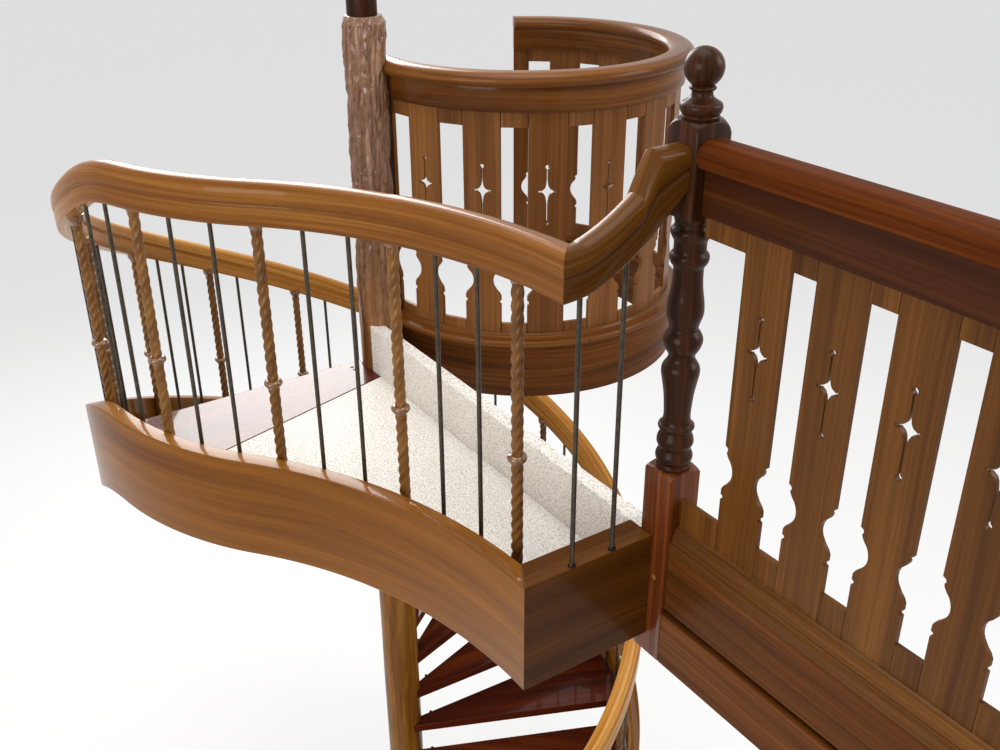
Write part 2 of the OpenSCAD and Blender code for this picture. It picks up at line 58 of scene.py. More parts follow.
# Heights, and the plan of the strings and rails, as in the solids
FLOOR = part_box("short_string")[1][2]
STEPS = 16
TREADS = STEPS - 1
RISER = FLOOR / STEPS
STEP_TURN = 20.4
TOP_NOSING = -89.5
PITCH_PER_DEGREE = RISER / STEP_TURN
EASE = 6
LOG_R = 0.073
STRING_R, STRING_T, STRING_H = 1.035, 0.05, 0.311
SHORT_T = 0.085
STRING_FALL = -85
STRING_START = STRING_FALL + EASE
STRING_END = -379.172
CORNER = Vector((1.572, -0.449))
NEWEL = Vector((1.576, -0.015))
NEWEL_HALF = 0.0475
NEWEL_FACE = NEWEL.y - NEWEL_HALF
RAIL_R, RAIL_W, RAIL_H = 0.983, 0.066, 0.112
RAIL_TOP = FLOOR + 0.8
RAIL_FALL = -75.5
RAIL_START = RAIL_FALL + EASE
RAIL_CORNER = Vector((1.576, -0.352))
CORNER_LIFT = 0.02
RAMP_RISE = 0.168

# How finely bends are cut, in degrees, and how much of its width end grain shows
BEND_STEP = 1.5
CAP_GRAIN, END_GRAIN = 0.3, 0.2
TINY = 1e-9


# Mesh tools
def add_object(name, data):
    piece = bpy.data.objects.new(name, data)
    bpy.context.scene.collection.objects.link(piece)
    return piece


def place(name, mesh, material, slot=None):
    """Extra piece when a slot is given, or else the finish of the node of that name."""
    piece = add_object(name if slot else name + "_finish", mesh)
    mesh.materials.append(material)
    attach(piece, "root")
    if not slot:
        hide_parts(name)
    return piece


def level_faces(mesh, angle=32):
    """Normals weighted by each plane's area, so that planes look flat."""
    around = [[] for _ in mesh.vertices]
    planes, keys = {}, []
    for p in mesh.polygons:
        keys.append((*(round(c, 3) for c in p.normal), round(p.center.dot(p.normal), 4)))
        planes[keys[-1]] = planes.get(keys[-1], 0.0) + p.area
    flats = [(p.normal.copy(), planes[key]) for p, key in zip(mesh.polygons, keys)]
    for p in mesh.polygons:
        for v in p.vertices:
            around[v].append(p.index)
    least = cos(radians(angle))
    normals = []
    for p in mesh.polygons:
        for v in p.vertices:
            near = (flats[k] for k in around[v])
            normals.append(sum((n * area for n, area in near if n.dot(p.normal) > least),
                               p.normal * TINY).normalized())
    mesh.shade_smooth()
    mesh.normals_split_custom_set(normals)


class Shape:
    """Points, faces and UVs that add up to one mesh."""

    def __init__(self):
        self.verts, self.faces, self.uvs = [], [], []

    def cap(self, ring, start, u, order):
        """Face over an end ring, whose points are taken in that order."""
        centre = sum((Vector(p) for p in ring), Vector()) / len(ring)
        side = (Vector(ring[len(ring) // 4]) - centre).normalized()
        self.faces.append([start + j for j in order])
        for j in order:
            offset = Vector(ring[j]) - centre
            self.uvs.append((u + offset.dot(side) * CAP_GRAIN, offset.z))

    def loft(self, rings, us, vs):
        """Closed surface through rings of points; us runs along it, vs round it."""
        start, n = len(self.verts), len(rings[0])
        for ring in rings:
            self.verts.extend(ring)
        for i in range(len(rings) - 1):
            low, high = start + i * n, start + (i + 1) * n
            for j in range(n):
                k = (j + 1) % n
                self.faces.append([low + j, low + k, high + k, high + j])
                self.uvs += [(us[i], vs[j]), (us[i], vs[j + 1]),
                             (us[i + 1], vs[j + 1]), (us[i + 1], vs[j])]
        self.cap(rings[0], start, us[0], range(n)[::-1])
        self.cap(rings[-1], start + (len(rings) - 1) * n, us[-1], range(n))
        return self

    def lathe(self, profile, at, steps=48, seed=0.0):
        """Round body about an upright axis; profile is [radius, height] upwards."""
        rings = [[(at[0] + r * cos(t), at[1] + r * sin(t), at[2] + z)
                  for t in turns(steps)] for r, z in profile]
        lengths = [0.0]
        for (r0, z0), (r1, z1) in zip(profile, profile[1:]):
            lengths.append(lengths[-1] + hypot(r1 - r0, z1 - z0))
        girth = tau * max(r for r, _ in profile)
        return self.loft(rings, [seed + s for s in lengths], wrap(girth, steps, seed))

    def object(self, name, material, slot=None, sharp=35):
        """Piece that is smooth apart from edges of more than sharp degrees."""
        mesh = bpy.data.meshes.new(name)
        mesh.from_pydata([tuple(v) for v in self.verts], [], self.faces)
        layer = mesh.uv_layers.new(name="UVMap")
        for loop, uv in zip(layer.data, self.uvs):
            loop.uv = uv
        mesh.shade_smooth()
        mesh.set_sharp_from_angle(angle=radians(sharp))
        return place(name, mesh, material, slot)


def spline(points, steps=3):
    """Smooth open line through points, by Catmull and Rom's formula."""
    line = []
    last = len(points) - 1
    for i in range(last):
        p0, p1, p2, p3 = (Vector(points[max(0, min(last, i + k))]) for k in (-1, 0, 1, 2))
        for s in range(steps):
            t = s / steps
            curve = (2 * p1 + (p2 - p0) * t + (2 * p0 - 5 * p1 + 4 * p2 - p3) * t * t
                     + (3 * p1 - p0 - 3 * p2 + p3) * t ** 3)
            line.append(tuple(0.5 * curve))
    line.append(tuple(points[-1]))
    return line


def rounded(points, radius, steps=3):
    """Closed outline with each corner rounded off."""
    line, n = [], len(points)
    for i in range(n):
        before, here, after = (Vector(points[(i + k) % n]) for k in (-1, 0, 1))
        a, b = before - here, after - here
        r = min(radius, a.length * 0.4, b.length * 0.4)
        a, b = here + a.normalized() * r, here + b.normalized() * r
        for s in range(steps + 1):
            t = s / steps
            line.append(tuple(a * (1 - t) ** 2 + here * 2 * t * (1 - t) + b * t * t))
    return line


def girths(outline):
    """Running length round a closed outline, with the closing length last."""
    lengths = [0.0]
    for i, p in enumerate(outline):
        q = outline[(i + 1) % len(outline)]
        lengths.append(lengths[-1] + dist(p, q))
    return lengths


def lengths_along(rings):
    """Running length along the first points of the rings."""
    lengths = [0.0]
    for a, b in zip(rings, rings[1:]):
        lengths.append(lengths[-1] + dist(a[0], b[0]))
    return lengths


def run(node, rings, vs, material, u, sharp=35):
    """Piece through rings, whose grain runs on from u; returns where it ends."""
    us = [u + length for length in lengths_along(rings)]
    Shape().loft(rings, us, vs).object(node, material, sharp=sharp)
    return us[-1]


def both_sides(half, middle, first):
    """Section from its half, [distance from the middle, height], from the first side on."""
    return ([(middle + first * x, z) for x, z in reversed(half)]
            + [(middle - first * x, z) for x, z in half[1:]])


def turns(n):
    """n equal directions round a circle."""
    return [tau * j / n for j in range(n)]


def wrap(girth, n, start=0.0):
    """v of n faces round a body of that girth."""
    return [start + girth * j / n for j in range(n + 1)]


def metres(points):
    """Points that are written in millimetres."""
    return [(a / 1000, b / 1000) for a, b in points]


def polar(r, a, centre=(0, 0)):
    a = radians(a)
    return Vector((centre[0] + r * cos(a), centre[1] + r * sin(a)))


def evenly(a0, a1, n):
    """Values from a0 to a1 in n equal steps."""
    return [a0 + (a1 - a0) * i / n for i in range(n + 1)]


def steps_between(a0, a1, size=BEND_STEP):
    """Values from a0 to a1 in equal steps of about size."""
    return evenly(a0, a1, max(1, round(abs(a1 - a0) / size)))


def share(value, whole):
    """Share of the whole, kept between 0 and 1."""
    return max(0.0, min(1.0, value / whole))


def islands(node):
    """(lowest corner, highest corner) of each separate solid of a CAD node."""
    bm = bmesh.new()
    bm.from_mesh(frame["nodes"][node].data)
    bmesh.ops.remove_doubles(bm, verts=bm.verts, dist=1e-5)
    left, boxes = set(bm.verts), []
    while left:
        queue, solid = [left.pop()], []
        while queue:
            v = queue.pop()
            solid.append(tuple(v.co))
            near = {e.other_vert(v) for e in v.link_edges} & left
            left -= near
            queue += near
        boxes.append([Vector([side(c) for c in zip(*solid)]) for side in (min, max)])
    bm.free()
    return sorted(boxes, key=lambda b: (round(b[0].z, 3), round(b[0].x, 3), round(b[0].y, 3)))


def box_uv(bm, grain, seed):
    """UVs by box projection: u along the grain, v across it on each face."""
    bm.normal_update()
    layer = bm.loops.layers.uv.get("UVMap") or bm.loops.layers.uv.new("UVMap")
    up = Vector((0, 0, 1)) if abs(grain.z) < 0.9 else Vector((0, 1, 0))
    side = up.cross(grain).normalized()
    top = grain.cross(side)
    for face in bm.faces:
        n = face.normal
        facing = max(abs(n.dot(side)), abs(n.dot(top)))
        for loop in face.loops:
            p = loop.vert.co
            along, across, height = p.dot(grain), p.dot(side), p.dot(top)
            if abs(n.dot(grain)) > max(facing, 0.7):
                uv = (across * END_GRAIN, height)
            elif abs(n.dot(top)) >= abs(n.dot(side)):
                uv = (along, across)
            else:
                uv = (along, height)
            loop[layer].uv = (uv[0] + seed * 3.7, uv[1] + seed * 1.3)


def finish(bm, node, material):
    """Piece with level faces that stands for the node."""
    mesh = bpy.data.meshes.new(node)
    bm.to_mesh(mesh)
    bm.free()
    level_faces(mesh)
    place(node, mesh, material)


def dress(node, material, grain=(1, 0, 0), soften=0.003, segments=2, seed=0.0):
    """Copy of a CAD node with softened edges and UVs in metres along its grain."""
    bm = bmesh.new()
    bm.from_mesh(frame["nodes"][node].data)
    bmesh.ops.remove_doubles(bm, verts=bm.verts, dist=2e-5)
    bmesh.ops.dissolve_limit(bm, angle_limit=radians(1), verts=bm.verts, edges=bm.edges)
    edges = [e for e in bm.edges if e.is_manifold and e.calc_face_angle(0) > radians(28)
             and e.calc_length() > soften * 1.2]
    bmesh.ops.bevel(bm, geom=edges, offset=soften, segments=segments, profile=0.5,
                    affect="EDGES", clamp_overlap=True)
    box_uv(bm, Vector(grain).normalized(), seed)
    finish(bm, node, material)


# Materials: colours are screen values from 0 to 255
GRAIN_DEPTH = 0.0006


def srgb(r, g, b):
    """Linear colour from screen values."""
    return tuple(((c / 255 + 0.055) / 1.055) ** 2.4 if c > 10 else c / 255 / 12.92
                 for c in (r, g, b)) + (1,)


class Nodes:
    """Short way to write nodes of a material or the world."""

    def __init__(self, owner):
        owner.use_nodes = True
        self.owner, self.tree = owner, owner.node_tree
        self.shader = self.tree.nodes.get("Principled BSDF")

    def put(self, value, socket):
        if isinstance(value, bpy.types.NodeSocket):
            self.tree.links.new(value, socket)
        else:
            socket.default_value = value

    def add(self, kind, values=None, **settings):
        node = self.tree.nodes.new("ShaderNode" + kind)
        for key, value in settings.items():
            setattr(node, key, value)
        for key, value in (values or {}).items():
            self.put(value, node.inputs[key])
        return node

    def maths(self, operation, a, b=0.0, c=0.0):
        return self.add("Math", {0: a, 1: b, 2: c}, operation=operation).outputs[0]

    def plus(self, value, factor, base):
        """Base plus so much of the value."""
        return self.maths("MULTIPLY_ADD", value, factor, base)

    def grain(self):
        """u along the grain and v across it, in metres."""
        uv = self.add("SeparateXYZ", {0: self.add("UVMap", uv_map="UVMap").outputs[0]})
        return uv.outputs[0], uv.outputs[1]

    def noise(self, vector, scale=1.0, detail=3.0, roughness=0.5):
        values = {"Vector": vector, "Scale": scale, "Detail": detail, "Roughness": roughness}
        return self.add("TexNoise", values).outputs["Fac"]

    def stretched(self, u, v, along, across):
        """Place with so many waves a metre along the grain and across it."""
        return self.add("CombineXYZ", {0: self.maths("MULTIPLY", u, along),
                                       1: self.maths("MULTIPLY", v, across)}).outputs[0]

    def streaks(self, u, v, along, across, detail, roughness=0.5):
        return self.noise(self.stretched(u, v, along, across), 1.0, detail, roughness)

    def tones(self, factor, dark, middle, light):
        """Even ramp through three screen colours."""
        node = self.add("ValToRGB", {"Fac": factor})
        elements = node.color_ramp.elements
        elements.new(0.5)
        for element, at, colour in zip(elements, (0.0, 0.5, 1.0), (dark, middle, light)):
            element.position, element.color = at, srgb(*colour)
        return node.outputs["Color"]

    def span(self, value, low, high, to_low=0.0, to_high=1.0):
        return self.add("MapRange", {"Value": value, "From Min": low, "From Max": high,
                                     "To Min": to_low, "To Max": to_high}).outputs[0]

    def mix(self, factor, a, b):
        return self.add("Mix", {0: factor, 6: a, 7: b}, data_type="RGBA").outputs[2]

    def bump(self, height, strength, distance):
        return self.add("Bump", {"Height": height, "Strength": strength,
                                 "Distance": distance}).outputs[0]

    def shown_or(self, lit, shown, part=1.0):
        """Shader that is shown, in part, to the camera and reflections, and otherwise lit."""
        path = self.add("LightPath")
        seen = self.maths("MAXIMUM", path.outputs["Is Camera Ray"], path.outputs["Is Glossy Ray"])
        return self.add("MixShader", {0: self.maths("MULTIPLY", seen, part),
                                      1: lit, 2: shown}).outputs[0]

    def output(self, name, shader):
        self.tree.links.new(shader, self.tree.nodes[name].inputs[0])

    def fill(self, **values):
        for name, value in values.items():
            self.put(value, self.shader.inputs[name.replace("_", " ")])


def material_nodes(name):
    return Nodes(bpy.data.materials.new(name))


def wood(name, dark, middle, light, rough, coat, coat_rough=0.1,
         lines=1.0, figure=1.0, contrast=1.0, knots=False, painted_light_fade=None, gloss=0.15):
    """Varnished timber on UVs in metres, u along the grain.

    lines is the weight of the year rings, figure how far they wander. painted_light_fade holds
    where along u a paler tone of painted light starts, where it is full, and its three colours.
    """
    n = material_nodes(name)
    u, v = n.grain()
    drift = n.streaks(u, v, 1.1, 5, 2)
    wavy = n.plus(drift, 0.035 * figure, v)
    broad = n.streaks(u, wavy, 0.7, 16, 3, 0.55)
    rings = n.streaks(u, wavy, 0.9, 95, 4, 0.6)
    fibre = n.streaks(u, wavy, 14, 620, 3, 0.6)
    pores = n.streaks(u, wavy, 45, 1500, 1)
    tone = n.streaks(u, v, 0.25, 1.4, 1)
    level = n.plus(rings, 0.55 * lines, n.maths("MULTIPLY", broad, 0.75))
    level = n.plus(fibre, 0.22, level)
    level = n.plus(tone, 0.5, level)
    mean, reach = 0.80 + 0.24 * lines, (0.22 + 0.08 * lines) / contrast
    level = n.span(level, mean - reach, mean + reach)
    colour = n.tones(level, dark, middle, light)
    # Painted light: a paler tone blends in along u, for light that falls on that stretch
    if painted_light_fade:
        starts, full, *lit_tones = painted_light_fade
        colour = n.mix(n.span(u, starts, full), colour, n.tones(level, *lit_tones))
    pore = n.span(pores, 0.60, 0.72)
    colour = n.mix(n.maths("MULTIPLY", pore, 0.35), colour, srgb(*dark))
    if knots:
        spots = n.add("TexVoronoi", {"Vector": n.stretched(u, wavy, 2.6, 4.2), "Scale": 1.0})
        ragged = n.plus(rings, 0.03, spots.outputs["Distance"])
        knot = n.span(ragged, 0.055, 0.085, 1, 0)
        colour = n.mix(n.maths("MULTIPLY", knot, 0.8), colour, srgb(36, 16, 6))
    height = n.plus(rings, 0.6, n.maths("MULTIPLY", pore, -0.5))
    height = n.plus(fibre, 0.4, height)
    n.fill(Base_Color=colour, Roughness=n.span(fibre, 0.2, 0.8, rough - 0.07, rough + 0.1),
           Normal=n.bump(height, 0.2, GRAIN_DEPTH), Coat_Weight=coat, Coat_Roughness=coat_rough,
           Coat_IOR=1.35, Specular_IOR_Level=gloss)
    return n.owner


def mottled(name, low, high, rough, metal=0.0, coat=0.0):
    """Plain finish with slight mottling, on object coordinates in metres."""
    n = material_nodes(name)
    patch = n.noise(n.add("TexCoord").outputs["Object"], scale=60, detail=4, roughness=0.6)
    n.fill(Base_Color=n.mix(n.span(patch, 0.35, 0.65), srgb(*low), srgb(*high)),
           Roughness=n.span(patch, 0.3, 0.7, rough - 0.06, rough + 0.08),
           Normal=n.bump(patch, 0.1, GRAIN_DEPTH), Metallic=metal, Coat_Weight=coat,
           Coat_Roughness=0.12, Specular_IOR_Level=0.3)
    return n.owner


def loop_pile():
    """Off-white carpet of small wool loops, with shade between them."""
    n = material_nodes("loop_pile")
    at = n.add("TexCoord").outputs["Object"]
    loops = n.add("TexVoronoi", {"Vector": at, "Scale": 215.0, "Randomness": 0.9},
                  feature="SMOOTH_F1").outputs["Distance"]
    twist = n.noise(at, scale=420, detail=3, roughness=0.7)
    drift = n.noise(at, scale=9, detail=2)
    height = n.plus(twist, 0.35, n.span(loops, 0.1, 0.75, 1.0, 0.0))
    colour = n.mix(n.span(height, 0.15, 0.95), srgb(176, 164, 150), srgb(252, 249, 243))
    colour = n.mix(n.span(drift, 0.3, 0.7, 0.0, 0.16), colour, srgb(214, 204, 192))
    n.fill(Base_Color=colour, Normal=n.bump(height, 0.5, 0.0035), Roughness=0.95,
           Sheen_Weight=0.25, Sheen_Roughness=0.5)
    return n.owner


def log_wood():
    """Peeled log: golden and smooth low down, grey-brown in the gnarled hollows."""
    n = material_nodes("peeled_log")
    u, v = n.grain()
    at = n.add("TexCoord").outputs["Object"]
    height = n.add("SeparateXYZ", {0: at}).outputs[2]
    hollow = n.add("Attribute", attribute_name="hollow").outputs["Fac"]
    drift = n.streaks(u, v, 1.6, 7, 3)
    wavy = n.plus(drift, 0.06, v)
    broad = n.streaks(u, wavy, 1.5, 22, 4, 0.6)
    fibre = n.streaks(u, wavy, 11, 420, 3, 0.6)
    blotch = n.noise(at, scale=17, detail=4, roughness=0.65)
    peeled = n.tones(n.span(n.plus(fibre, 0.4, broad), 0.45, 0.95),
                     (76, 42, 10), (120, 76, 22), (160, 112, 44))
    aged = n.tones(n.span(n.plus(fibre, 0.5, broad), 0.5, 1.0),
                   (78, 48, 30), (132, 94, 70), (182, 148, 118))
    above = n.span(n.plus(blotch, 0.5, height), FLOOR - 0.05, FLOOR + 0.75)
    colour = n.mix(above, peeled, aged)
    colour = n.mix(n.span(hollow, 0.15, 0.8, 0.0, 0.62), colour, srgb(50, 28, 15))
    n.fill(Base_Color=colour, Roughness=n.span(blotch, 0.3, 0.7, 0.26, 0.42),
           Normal=n.bump(n.plus(fibre, 0.4, broad), 0.4, 0.0016),
           Coat_Weight=n.span(above, 0.0, 1.0, 0.25, 0.8), Coat_Roughness=0.06,
           Coat_IOR=1.45, Specular_IOR_Level=0.05)
    return n.owner


# Woods: dark, middle and light colour, roughness, coat and its roughness, and lines
RAIL_LOOK = ((80, 41, 8), (120, 71, 22), (158, 106, 46), 0.36, 0.34, 0.05, 1.3, 0.5)
BOARD_LOOK = (0.46, 0.2, 0.15, 1.1, 1.0, 1.05)
string_wood = wood("golden_laminated", (98, 54, 10), (132, 81, 20), (160, 108, 38),
                   0.36, 0.42, 0.07, 0.6, figure=1.2, gloss=0.05)
rail_wood = wood("rail_laminated", *RAIL_LOOK, gloss=0.05)
ramp_wood = wood("ramp_timber", (68, 36, 8), (102, 62, 18), (140, 92, 36),
                 0.36, 0.3, 0.07, 1.3, figure=0.7, gloss=0.04)
short_wood = wood("short_string_timber", (62, 31, 5), (90, 51, 12), (122, 76, 28),
                  0.4, 0.15, 0.1, 0.9, gloss=0.04)
twist_wood = wood("twisted_timber", (78, 44, 12), (120, 78, 30), (152, 108, 54),
                  0.42, 0.4, 0.1, 0.7, figure=0.4)
board_wood = wood("fretwork_boards", (66, 36, 11), (98, 59, 20), (130, 85, 36), *BOARD_LOOK,
                  gloss=0.08)
drum_wood = wood("round_boards", (84, 47, 18), (116, 72, 34), (148, 100, 54), *BOARD_LOOK,
                 gloss=0.08)
drum_rail_wood = wood("round_rail_timber", (70, 36, 9), (104, 60, 20), (138, 88, 38),
                      0.38, 0.3, 0.08, 1.3, contrast=1.3, gloss=0.06)
dark_turned = wood("dark_turned", (28, 12, 4), (58, 29, 11), (92, 52, 24),
                   0.42, 0.2, 0.06, 0.9, contrast=1.3, gloss=0.06)
rail_mahogany = wood("rail_mahogany", (58, 24, 5), (92, 44, 12), (124, 66, 22),
                     0.5, 0.05, 0.05, contrast=1.3, gloss=0.02)
fascia_wood = wood("fascia_mahogany", (36, 15, 4), (60, 28, 8), (86, 45, 16),
                   0.44, 0.1, 0.12, 0.9, gloss=0.08)
tread_wood = wood("tread_mahogany", (40, 10, 3), (78, 27, 8), (118, 54, 20),
                  0.32, 0.55, 0.05, 0.9, figure=1.4, gloss=0.08)
beam_wood = wood("beam_timber", (62, 32, 8), (96, 53, 18), (130, 78, 32),
                 0.46, 0.12, 0.2, 1.2, contrast=1.4, knots=True, gloss=0.04)
# Painted light: a lighter copy of the newel's wood for the foot blocks, where light falls on them;
# the head block keeps the dark finish
lit_block_wood = wood("newel_block_painted_light", (58, 24, 6), (98, 46, 14), (140, 74, 28),
                  0.36, 0.4, 0.1, 1.2, contrast=1.3)
deck_wood = wood("plain_timber", (120, 84, 46), (150, 110, 66), (176, 136, 88), 0.6, 0.0)
steel = mottled("dark_steel", (56, 50, 42), (80, 70, 56), 0.42, metal=0.65, coat=0.1)
dark_metal = mottled("bolt_steel", (36, 30, 26), (60, 52, 46), 0.4, metal=0.8)
collar_wood = mottled("collar_gloss", (96, 56, 20), (132, 84, 36), 0.22, coat=1.0)
plug_wood = mottled("plug_timber", (120, 72, 36), (150, 98, 54), 0.35, coat=0.5)
carpet = loop_pile()


# Strings
STRING_SOFT = 0.0035
OGEE_PARTS = 30


def fall(a, a0):
    """Drop of a line that starts to fall at direction a0 and eases in."""
    d = a0 - a
    if d < -EASE:
        return 0.0
    return PITCH_PER_DEGREE * (d if d > EASE else (d + EASE) ** 2 / (4 * EASE))


def thirds(start):
    """Name and directions of each of the flight's three lengths, from start to its end."""
    third = (start - STRING_END) / 3
    return [(part, steps_between(start - third * i, start - third * (i + 1)))
            for i, part in enumerate(("upper", "middle", "lower"))]


def reverse_arc(r, corner):
    """Radius, centre and starting direction of the reverse arc up to a corner."""
    back = (corner.x ** 2 + corner.y ** 2 - r * r) / (2 * (r + corner.y))
    centre = Vector((corner.x, corner.y - back))
    return back, centre, degrees(atan2(centre.y, centre.x))


OGEE_R, OGEE_AT, OGEE_DIR = reverse_arc(STRING_R, CORNER)


def string_line(d, x_end):
    """Plan of the landing's string at distance d inside its outer face."""
    line = [polar(STRING_R - d, a) for a in steps_between(STRING_START, OGEE_DIR)]
    reach = sqrt((OGEE_R + d) ** 2 - (CORNER.x - x_end) ** 2)
    a0 = OGEE_DIR + 180
    a1 = degrees(atan2(reach, x_end - CORNER.x))
    return line + [polar(OGEE_R + d, a, OGEE_AT) for a in evenly(a0, a1, OGEE_PARTS)[1:]]


# Section of the strings as [share of the thickness inwards, height]
STRING_SQUARE = [(0, 0), (0, -STRING_H), (STRING_T, -STRING_H), (STRING_T, 0)]
STRING = [(x / STRING_T, h) for x, h in rounded(STRING_SQUARE, STRING_SOFT)]
STRING_VS = girths([(t * STRING_T, h) for t, h in STRING])


def strings():
    """The landing's, the flight's in three lengths, and the short one."""
    outer = string_line(0.0, CORNER.x)
    inner = string_line(STRING_T, CORNER.x - SHORT_T)
    rings = [[(*p.lerp(q, t), FLOOR + h) for t, h in STRING] for p, q in zip(outer, inner)]
    u = run("landing_string", rings[::-1], STRING_VS, string_wood, 0.3)
    for part, angles in thirds(STRING_START):
        rings = []
        for a in angles:
            top = FLOOR - fall(a, STRING_FALL)
            rings.append([(*polar(STRING_R - t * STRING_T, a), max(0.0, top + h))
                          for t, h in STRING])
        u = run("string_" + part, rings, STRING_VS, string_wood, u)
    dress("short_string", short_wood, grain=(0, 1, 0), soften=STRING_SOFT, seed=2.1)


strings()


# Handrail
# Painted light: how far along the flight's rail its paler, lit tone starts and where it is full
RAIL_PAINTED_LIGHT = (0.02, 0.75)

# Section in shares of the rail's width and height: domed top, lip, quirk and flat band
RAIL_DOME = [(0, 0), (0.10, -0.003), (0.20, -0.013), (0.31, -0.036), (0.41, -0.084),
             (0.475, -0.155), (0.5, -0.25), (0.5, -0.36), (0.487, -0.435)]
RAIL_SIDE = [(0.455, -0.462), (0.405, -0.476), (0.388, -0.495), (0.388, -0.515), (0.405, -0.54),
             (0.452, -0.566), (0.46, -0.6), (0.452, -0.9), (0.44, -0.965), (0.40, -1.0)]
RIGHT = [(x * RAIL_W, h * RAIL_H) for x, h in spline(RAIL_DOME) + RAIL_SIDE]
RAIL = RIGHT + [(-x, h) for x, h in reversed(RIGHT[1:])]
RAIL_VS = girths(RAIL)
BACK_R, BACK_AT, BACK_DIR = reverse_arc(RAIL_R, RAIL_CORNER)


def rail_ring(at, side, lift=0.0):
    return [(at.x + side.x * a, at.y + side.y * a, RAIL_TOP + lift + h) for a, h in RAIL]


def landing_handrail():
    """Rail from the mitre to the left turn; returns where its grain ends."""
    rings = [[(RAIL_CORNER.x + a, RAIL_CORNER.y - a, RAIL_TOP + CORNER_LIFT + h)
              for a, h in RAIL]]
    mitre_end = 90 + degrees(asin(RAIL_W / BACK_R))
    for a in steps_between(mitre_end, BACK_DIR + 180)[:-1]:
        lift = CORNER_LIFT * (1 - (a - 90) / (BACK_DIR + 90))
        rings.append(rail_ring(polar(BACK_R, a, BACK_AT), -polar(1, a), lift))
    for a in steps_between(BACK_DIR, RAIL_START):
        rings.append(rail_ring(polar(RAIL_R, a), polar(1, a)))
    return run("landing_handrail", rings, RAIL_VS, rail_wood, 5.1)


def flight_handrail(u):
    """The flight's rail in three lengths, with painted light beyond the left turn: a paler tone
    stands in for the window light on its far side.
    """
    # Paler tones of painted light, for the window light that falls on the rail's far side
    painted_light_fade = (u + RAIL_PAINTED_LIGHT[0], u + RAIL_PAINTED_LIGHT[1], (126, 74, 22), (176, 118, 46), (222, 168, 90))
    lit_rail_wood = wood("flight_rail_painted_light", *RAIL_LOOK, painted_light_fade=painted_light_fade, gloss=0.05)
    for part, angles in thirds(RAIL_START):
        rings = [rail_ring(polar(RAIL_R, a), polar(1, a), -fall(a, RAIL_FALL)) for a in angles]
        u = run("handrail_" + part, rings, RAIL_VS, lit_rail_wood, u)


flight_handrail(landing_handrail())


# The ramp up to the newel, whose mitre dies away over its first part
STEEP, LEVEL = 0.6, 0.73
RAMP_LEN = NEWEL_FACE - RAIL_CORNER.y
UNDER_RISE, UNDER_POWER, OVER_POWER = RAMP_RISE + 0.014, 1.6, 0.9
RAMP_MITRE = 0.12
RAMP_PARTS = 60


def ramp_under(s):
    """Rise of the underside, in one curve."""
    return UNDER_RISE * s ** UNDER_POWER


def ramp_over(s):
    """Rise of the top, which steps up steeply to a level block."""
    if s <= STEEP:
        return ramp_under(s)
    if s >= LEVEL:
        return RAMP_RISE
    low = ramp_under(STEEP)
    return low + (RAMP_RISE - low) * ((s - STEEP) / (LEVEL - STEEP)) ** OVER_POWER


def handrail_ramp():
    rings = []
    for s in evenly(0, 1, RAMP_PARTS):
        mitre = max(0, RAMP_MITRE - s) / RAMP_MITRE
        ring = []
        for a, h in RAIL:
            up = (h + RAIL_H) / RAIL_H
            rise = ramp_under(s) * (1 - up) + ramp_over(s) * up
            ring.append((RAIL_CORNER.x + a, RAIL_CORNER.y + RAMP_LEN * s - mitre * a,
                         RAIL_TOP + CORNER_LIFT + h + rise))
        rings.append(ring)
    run("handrail_ramp", rings, RAIL_VS, ramp_wood, 0.7, sharp=30)


handrail_ramp()


# Balusters
ROD_IN, TWIST_IN = 0.004, 0.003
FERRULE = metres([(3.5, 0), (3.5, 6), (1.5, 9), (0, 9.5)])
TWIST_PITCH, TWIST_STEP, TWIST_SIDES = 0.13, 0.005, 24
TWIST_CORE, TWIST_LOBE, TWIST_GIRTH = 0.0118, 0.0038, 0.09
TWIST_CAP = metres([(13, -22), (16.5, -20), (18.5, -14), (22.5, -8), (23.5, -3), (23.5, 12)])
COLLAR = metres([
    (12.5, -12.5), (16.5, -13), (18.8, -10.8), (18.2, -8.4), (22.2, -6.2), (24.8, -2.2),
    (25.2, 2.2), (23.2, 6.6), (19.2, 9.2), (16.5, 10.4), (12.5, 10.8)])


def rods(node, ferrules_above=None):
    """Round steel rods; those that start above that height stand in ferrules."""
    shape, feet = Shape(), Shape()
    for k, (low, high) in enumerate(islands(node)):
        at = ((low.x + high.x) / 2, (low.y + high.y) / 2, low.z)
        r, h = (high.x - low.x) / 2, high.z - low.z
        shape.lathe([(r, 0), (r, h * 0.5), (r, h + ROD_IN)], at, steps=20, seed=k)
        if ferrules_above and low.z > ferrules_above:
            feet.lathe([(r + out, z) for out, z in FERRULE], at, steps=24, seed=k)
    shape.object(node, steel)
    if feet.verts:
        feet.object("rod_ferrules", dark_metal, "rod")


def twisted(node):
    """Square bars with round corners, twisted about their axes, and caps."""
    shape, caps = Shape(), Shape()
    angles = turns(TWIST_SIDES)
    radii = [TWIST_CORE + TWIST_LOBE * (0.5 + 0.5 * cos(4 * a)) ** 0.8 for a in angles]
    for k, (low, high) in enumerate(islands(node)):
        x, y = (low.x + high.x) / 2, (low.y + high.y) / 2
        heights = steps_between(low.z, high.z + TWIST_IN, TWIST_STEP)
        rings = []
        for z in heights:
            turn = tau * (z - low.z) / TWIST_PITCH
            rings.append([(x + r * cos(a + turn), y + r * sin(a + turn), z)
                          for a, r in zip(angles, radii)])
        shape.loft(rings, [k * 1.7 + z for z in heights],
                   wrap(TWIST_GIRTH, TWIST_SIDES, k * 0.4))
        caps.lathe(TWIST_CAP, (x, y, high.z), steps=28, seed=k)
    shape.object(node, twist_wood, sharp=60)
    caps.object(node.replace("balusters", "caps"), collar_wood, "collar")


